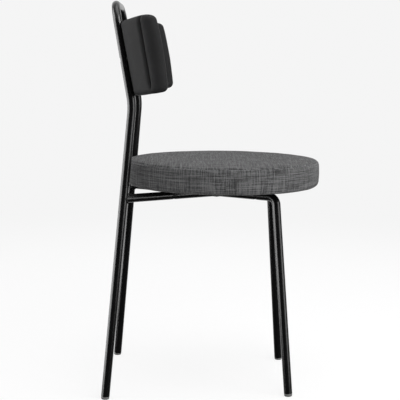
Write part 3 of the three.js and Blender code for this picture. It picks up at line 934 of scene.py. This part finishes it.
YARN = 1.15 * MM
linen = Finish("heathered_linen")
linen_x, linen_y, linen_z = linen.parts(linen.where())
linen_y = linen_y - SEAT_CENTRE_Y
linen_radius = (linen_x * linen_x + linen_y * linen_y) ** 0.5
linen_turn = linen_y.math("ARCTAN2", linen_x) * SEAT_RADIUS
over_seam = (linen_radius - linen_z) - (SEAT_RADIUS - SEAT_TOP)
under_band = (linen_radius + linen_z) - (SEAT_RADIUS - SEAT_EDGE + SEAT_BOTTOM + SEAT_EDGE)
on_band = over_seam.math("GREATER_THAN", 0.0) * under_band.math("GREATER_THAN", 0.0)
weft = linen_x + (linen_turn - linen_x) * on_band
warp = linen_y + (linen_z - linen_y) * on_band
wander = linen.noise(linen.vector(weft * 40.0, warp * 40.0, 0.0), 1.0, 2.0) - 0.5
weft = weft + wander * 0.0009
warp = warp + wander * 0.0007
weft_phase = weft * (math.pi / YARN)
warp_phase = warp * (math.pi / YARN)
weft_wave = weft_phase.math("COSINE")
warp_wave = warp_phase.math("COSINE")
weave_over = weft_wave * warp_wave * 0.5 + 0.5
weave = weft_wave * weft_wave * weave_over + warp_wave * warp_wave * (1 - weave_over)


def slub(along, across, length, width, seed):
    """Thick and thin places in the yarns: streaks long one way and narrow the other."""
    place = linen.vector(along * (1 / length), across * (1 / width), seed)
    return linen.noise(place, 1.0, 3.0, 0.55)


slub_across = slub(weft, warp, 48 * MM, 2.1 * MM, 0.0).between(0.36, 0.66)
slub_up = slub(warp, weft, 48 * MM, 2.1 * MM, 7.0).between(0.36, 0.66)
fleck_across = slub(weft, warp, 5 * MM, 0.9 * MM, 3.0).between(0.3, 0.7)
fleck_up = slub(warp, weft, 5 * MM, 0.9 * MM, 11.0).between(0.3, 0.7)
bar_across = slub(weft, warp, 95 * MM, 4.2 * MM, 19.0).between(0.38, 0.64)
bar_up = slub(warp, weft, 95 * MM, 4.2 * MM, 23.0).between(0.38, 0.64)
heather = (slub_across + slub_up) * 0.24 + (fleck_across + fleck_up) * 0.14
heather = heather + (bar_across + bar_up) * 0.12
linen_colour = linen.blend(heather.between(0.2, 0.8), (0.042, 0.042, 0.0425, 1), (0.22, 0.22, 0.222, 1))
# Painted shade: the cloth's colour is darkened to 0.6 where the weave dips into the hollows between its
# yarns.
weave_gap_shade = linen.blend(weave.between(0.0, 0.5), (0.6, 0.6, 0.6, 1), (1, 1, 1, 1))
linen_colour = linen.node(
    "ShaderNodeMix",
    {"data_type": "RGBA", "blend_type": "MULTIPLY"},
    {"Factor": 1.0, 6: linen_colour, 7: weave_gap_shade},
    give=2,
)
linen_height = weave * 0.8 + heather * 0.5
linen.surface(
    Base_Color=linen_colour,
    Roughness=0.92,
    Sheen_Weight=0.12,
    Sheen_Roughness=0.5,
    Specular_IOR_Level=0.2,
    Normal=linen.bump(linen_height, 0.0005, 0.75),
)

foam_finish = Finish("upholstery_foam")
foam_cells = foam_finish.noise(foam_finish.where(), 900.0, 4.0, 0.7)
foam_finish.surface(
    Base_Color=foam_finish.blend(foam_cells, (0.6, 0.52, 0.34, 1), (0.76, 0.7, 0.52, 1)),
    Roughness=0.95,
    Normal=foam_finish.bump(foam_cells, 0.0006, 0.8),
)

seat_plain = seat_mesh("seat_plain", SIM_INSET)
seat_move = swelling(seat_plain, 6 * MM, 3 * MM, seat_held)
cover_mesh = seat_mesh("seat_upholstery", 0.0, seat_move)
cover_mesh.shade_smooth()
seat_upholstery = add_piece(
    "seat_upholstery", cover_mesh, linen.material, "seat_cover"
)
cloth_thickness = seat_upholstery.modifiers.new("cloth", "SOLIDIFY")
cloth_thickness.thickness = FABRIC
cloth_thickness.offset = -1

BOARD_TOP = 454.7 * MM
BOARD_RADIUS = 198 * MM
FOAM_INSET = 2.6 * MM
FOAM_CROWN = 0.2 * MM
FOAM_WALL_END = 451.5 * MM
foam_edge = FOAM_INSET + SEAT_EDGE
foam_profile = [
    (0, BOARD_TOP + FIT),
    (BOARD_RADIUS + FIT, BOARD_TOP + FIT),
    (BOARD_RADIUS + FIT, FOAM_WALL_END),
    (SEAT_RADIUS - FOAM_INSET, FOAM_WALL_END),
    *round_corner(SEAT_RADIUS - foam_edge, SEAT_TOP - foam_edge, SEAT_EDGE, 0, 90),
    (0, SEAT_TOP - FOAM_INSET + FOAM_CROWN),
]
foam_mesh = turned_mesh("seat_padding", foam_profile, seat_centre, UP, 96)
smooth(foam_mesh)
seat_padding = add_piece("seat_padding", foam_mesh, foam_finish.material, "seat_foam")

# ---------------------------------------------------------------------------
# Dust cover. A disc of thin black non-woven cloth, drawn tight across the
# underside of the seat over the turned-under edge of its cover.
# ---------------------------------------------------------------------------
DUST_RADIUS = 186 * MM
DUST_TOP = 440.7 * MM
DUST_THICKNESS = 0.6 * MM
DUST_BORDER = 8 * MM

lining = Finish("black_lining")
lining_at = lining.where()
lining_fibre = lining.noise(lining_at, 1500.0, 4.0, 0.7)
lining_dimple = lining.node("ShaderNodeTexVoronoi", None, {"Vector": lining_at, "Scale": 650.0})
lining.surface(
    Base_Color=lining.blend(lining_fibre, (0.008, 0.008, 0.008, 1), (0.02, 0.02, 0.02, 1)),
    Roughness=0.95,
    Normal=lining.bump(lining_fibre * 0.5 + lining_dimple, 0.0002, 0.7),
)

dust_radii = [0, DUST_RADIUS - DUST_BORDER, DUST_RADIUS]
dust_profile = [(radius, 0) for radius in dust_radii]
dust_profile += [(radius, DUST_THICKNESS) for radius in reversed(dust_radii)]
dust_start = seat_centre + UP * (DUST_TOP - DUST_THICKNESS)
dust_mesh = turned_mesh("dust_cloth", dust_profile, dust_start, UP, 144)
dust_holes = []
for end in ("rear", "front"):
    for side in (-1, 1):
        dust_holes.append(screw_hole(seat_screw(end, side)[0], UP, HOLE_LENGTH))
dust_mesh = cut_away(dust_mesh, dust_holes)
dust_cloth = add_piece("dust_cloth", dust_mesh, lining.material, "seat_dust_cover")

# ---------------------------------------------------------------------------
# Back pad. Moulded foam round a bent plywood board, in a cover of matt black
# leather-look cloth sewn into upright channels, with a thick roll at each wing.
# The uprights of the hoop nest in its back.
# ---------------------------------------------------------------------------
PAD_HEIGHT = 158 * MM
PAD_OUTER_RADIUS = 352 * MM
PAD_INNER_RADIUS = 316 * MM
PAD_BACK_SET = 14.8 * MM
PAD_HALF_ANGLE = math.radians(34)
PAD_END = 12 * MM
PAD_HALF = (PAD_OUTER_RADIUS - PAD_INNER_RADIUS) / 2
PAD_END_INSETS = (17.9 * MM, 16 * MM, 14 * MM)
PAD_END_STEPS = 8
PAD_SIDE_STEPS = 28
ROLL_REACH = 23.5 * MM
ROLL_FORWARD = 9 * MM
ROLL_BARREL = 4 * MM
ROLL_DROP = 5 * MM
ROLL_DROP_SPAN = 40 * MM
CHANNELS = 4
CHANNEL_STATIONS = 24
TIP_STATIONS = 28
GROOVE_DEPTH = 7.5 * MM
GROOVE_SHOULDER = 8 * MM
ROLL_SHOULDER = 15 * MM
PUCKER = 0.5 * MM
PUCKER_REACH = 16 * MM
PAD_UNEVEN = 0.5 * MM
pad_origin = Vector((0, back_screw.y, PAD_MIDDLE_Z))
pad_turn = Matrix.Rotation(-hoop_lean, 3, "X")


def pad_plan():
    """Points round the pad seen from above: place, outward direction, distance from the
    nearest groove, and how far out on a wing's roll the point is, from 0 to 1."""
    stations = []
    centre_y = PAD_BACK_SET - PAD_OUTER_RADIUS
    middle = (PAD_OUTER_RADIUS + PAD_INNER_RADIUS) / 2

    def face(radius, sign):
        for channel in range(CHANNELS):
            for step in range(CHANNEL_STATIONS):
                share = (1 - math.cos(math.pi * step / CHANNEL_STATIONS)) / 2
                angle = PAD_HALF_ANGLE * (2 * (channel + share) / CHANNELS - 1) * sign
                width = 2 * PAD_HALF_ANGLE * radius / CHANNELS
                spoke = Vector((math.sin(angle), math.cos(angle), 0))
                place = Vector((0, centre_y, 0)) + spoke * radius
                outward = spoke if radius > middle else -spoke
                stations.append((place, outward, min(share, 1 - share) * width, 0.0))

    def roll(sign, start):
        spoke = Vector((sign * math.sin(PAD_HALF_ANGLE), math.cos(PAD_HALF_ANGLE), 0))
        tangent = Vector((spoke.y * sign, -spoke.x * sign, 0))
        place = Vector((0, centre_y, 0)) + spoke * middle
        for step in range(TIP_STATIONS):
            share = (1 - math.cos(math.pi * step / TIP_STATIONS)) / 2
            share = (share + step / TIP_STATIONS) / 2
            angle = math.pi * share
            through = spoke * math.cos(angle) * start
            reach = tangent * math.sin(angle)
            outward = (through / PAD_HALF + reach / ROLL_REACH).normalized()
            distance = min(share, 1 - share) * math.pi * PAD_HALF
            end = place + through * PAD_HALF + reach * ROLL_REACH
            stations.append((end, outward, distance, math.sin(angle)))

    face(PAD_OUTER_RADIUS, 1)
    roll(1, 1)
    face(PAD_INNER_RADIUS, -1)
    roll(-1, -1)
    return stations


def pad_rows():
    """Rows from the bottom's middle line to the top's: inset, height and slope in degrees."""
    half = PAD_HEIGHT / 2
    rows = [(inset, -half, -90) for inset in PAD_END_INSETS]
    for step in range(PAD_END_STEPS):
        angle = -90 + 90 * step / PAD_END_STEPS
        inset = PAD_END * (1 - math.cos(math.radians(angle)))
        rows.append((inset, -half + PAD_END + PAD_END * math.sin(math.radians(angle)), angle))
    end_rows = list(rows)
    for step in range(PAD_SIDE_STEPS + 1):
        rows.append((0.0, (2 * step / PAD_SIDE_STEPS - 1) * (half - PAD_END), 0))
    for inset, height, angle in reversed(end_rows):
        rows.append((inset, -height, -angle))
    return rows


def on_pad(point):
    """A point of the chair in the pad's own leaning axes."""
    return pad_turn.transposed() @ (point - pad_origin)


UPRIGHT_LEAST_X = 60 * MM
UPRIGHT_SPAN = 110 * MM
upright_path = {}
for side in (-1, 1):
    waist = on_pad(on_side(WAIST, side))
    path = [(waist.z, waist.x)]
    for point, along in hoop_stations:
        local = on_pad(point)
        if point.x * side > UPRIGHT_LEAST_X and abs(local.z) < UPRIGHT_SPAN:
            path.append((local.z, local.x))
    upright_path[side] = sorted(path)
NEST_REACH = 25 * MM
NEST_HALF_WIDTH = 15 * MM
NEST_HOLLOW = 4.5 * MM
NEST_HOLLOW_HALF_WIDTH = 28 * MM
NEST_DEPTH = TUBE_RADIUS + 0.9 * MM


def nest(local):
    """Draws the pad's back in round the upright that lies against it."""
    if local.y < -NEST_REACH:
        return local
    path = upright_path[1 if local.x > 0 else -1]
    across = local.x - float(np.interp(local.z, [z for z, x in path], [x for z, x in path]))
    if abs(across) < NEST_HOLLOW_HALF_WIDTH:
        local.y -= NEST_HOLLOW * (1 - (across / NEST_HOLLOW_HALF_WIDTH) ** 2) ** 1.5
    if abs(across) < NEST_HALF_WIDTH:
        limit = -NEST_DEPTH * (1 - (across / NEST_HALF_WIDTH) ** 2) ** 1.3
        local.y = min(local.y, limit + max(0.0, abs(across) - TUBE_RADIUS))
    return local


def pad_mesh(name, inset=0.0, move=None, sewn=True):
    """The pad's outside, drawn in by an inset, with its channels if it is sewn."""
    half = PAD_HEIGHT / 2
    shape = bmesh.new()
    stations = pad_plan()
    rings = []
    for row_inset, height, slope in pad_rows():
        lean = math.radians(slope)
        ring = []
        for place, outward, distance, on_roll in stations:
            direction = outward * math.cos(lean) + UP * math.sin(lean)
            local = place - outward * row_inset + UP * height - direction * inset
            local.y -= on_roll * (ROLL_FORWARD - ROLL_BARREL * (height / half) ** 2)
            local.z -= ROLL_DROP * on_roll**1.5 * fade(height, half - ROLL_DROP_SPAN, half)
            depth = 0.0
            if sewn:
                shoulder = ROLL_SHOULDER if on_roll else GROOVE_SHOULDER
                share = 1 - min(distance / shoulder, 1.0)
                depth = -GROOVE_DEPTH * (1 - math.sqrt(1 - share * share))
                if height > 0:
                    depth *= 1 - fade(row_inset, 1 * MM, 15 * MM)
                else:
                    depth *= fade(height, -half + 4 * MM, -half + 22 * MM)
                pucker = noise.noise(Vector((distance * 90, height * 170, place.x * 12 + place.y * 9)))
                depth += PUCKER * pucker * math.exp(-distance / PUCKER_REACH)
                depth += PAD_UNEVEN * noise.noise((place + UP * height) * 24)
            point = local + direction * depth
            if move:
                point += pad_turn.transposed() @ move(pad_origin + pad_turn @ point)
            ring.append(shape.verts.new(pad_origin + pad_turn @ nest(point)))
        rings.append(ring)
    count = len(stations)
    for low, high in zip(rings, rings[1:]):
        for step in range(count):
            around = (step + 1) % count
            shape.faces.new([low[step], low[around], high[around], high[step]])
    bmesh.ops.remove_doubles(shape, verts=rings[0] + rings[-1], dist=0.5 * MM)
    bmesh.ops.recalc_face_normals(shape, faces=shape.faces)
    return mesh_from(shape, name)


leather = Finish("black_leather_cloth")
leather_at = leather.where()
leather_cell = leather.node(
    "ShaderNodeTexVoronoi", {"feature": "DISTANCE_TO_EDGE"}, {"Vector": leather_at, "Scale": 820.0}
)
leather_crease = leather.noise(leather_at, 170.0, 5.0, 0.65)
leather_cloud = leather.noise(leather_at, 20.0, 3.0, 0.6)
leather_grain = leather_cell.between(0.0, 0.18) * 0.7 + leather_crease * 0.5
leather_colour = leather.blend(leather_cloud, (0.019, 0.019, 0.0195, 1), (0.028, 0.028, 0.0285, 1))
leather.surface(
    Base_Color=leather_colour,
    Roughness=0.54 + leather_crease * 0.16,
    Specular_IOR_Level=0.07,
    Sheen_Weight=0.06,
    Sheen_Roughness=0.35,
    Normal=leather.bump(leather_grain, 0.00018, 0.7),
)


def pad_held(point):
    """The cover is sewn down along its grooves, and lies tight against the uprights."""
    local = on_pad(point)
    angle = math.atan2(local.x, local.y - PAD_BACK_SET + PAD_OUTER_RADIUS)
    spacing = 2 * PAD_HALF_ANGLE / CHANNELS
    if abs(angle) > PAD_HALF_ANGLE + spacing / 2:
        return 0.0
    arc = abs(angle - spacing * round(angle / spacing)) * PAD_OUTER_RADIUS
    return 1 - fade(arc, 4 * MM, 18 * MM)


pad_plain = pad_mesh("pad_plain", SIM_INSET, sewn=False)
pad_move = swelling(pad_plain, 5 * MM, 2.5 * MM, pad_held)
cover_mesh = pad_mesh("back_pad_upholstery", 0.8 * MM, pad_move)
cover_mesh.shade_smooth()
pad_cover = add_piece(
    "back_pad_upholstery", cover_mesh, leather.material, "back_cover"
)
foam_mesh = pad_mesh("back_pad_padding", 2.4 * MM)
foam_mesh.shade_smooth()
pad_padding = add_piece("back_pad_padding", foam_mesh, foam_finish.material, "back_foam")

# ---------------------------------------------------------------------------
# Inside the back pad. Bent birch plywood, two black nylon blocks that stand
# between it and the uprights, and two screws into brass sleeves in the board.
# ---------------------------------------------------------------------------
brass = Finish("brass")
brass_grain = brass.noise(brass.where(), 800.0, 3.0, 0.6)
brass.surface(
    Base_Color=brass.blend(brass_grain, (0.52, 0.36, 0.13, 1), (0.7, 0.5, 0.2, 1)),
    Metallic=1.0,
    Roughness=0.3 + brass_grain * 0.2,
    Normal=brass.bump(brass_grain, 0.00004, 0.5),
)
finish_node("back_board", birch.material)
for side, hand in ((-1, "right"), (1, "left")):
    finish_node(f"back_spacer_{hand}", black_nylon.material)
    finish_node(f"back_insert_{hand}", brass.material)
    screw_place = on_side(back_screw, side)
    screw_node = f"back_screw_{hand}"
    add_screw(f"bolt_back_{hand}", screw_place, pad_forward, BACK_SCREW_LENGTH, screw_node)
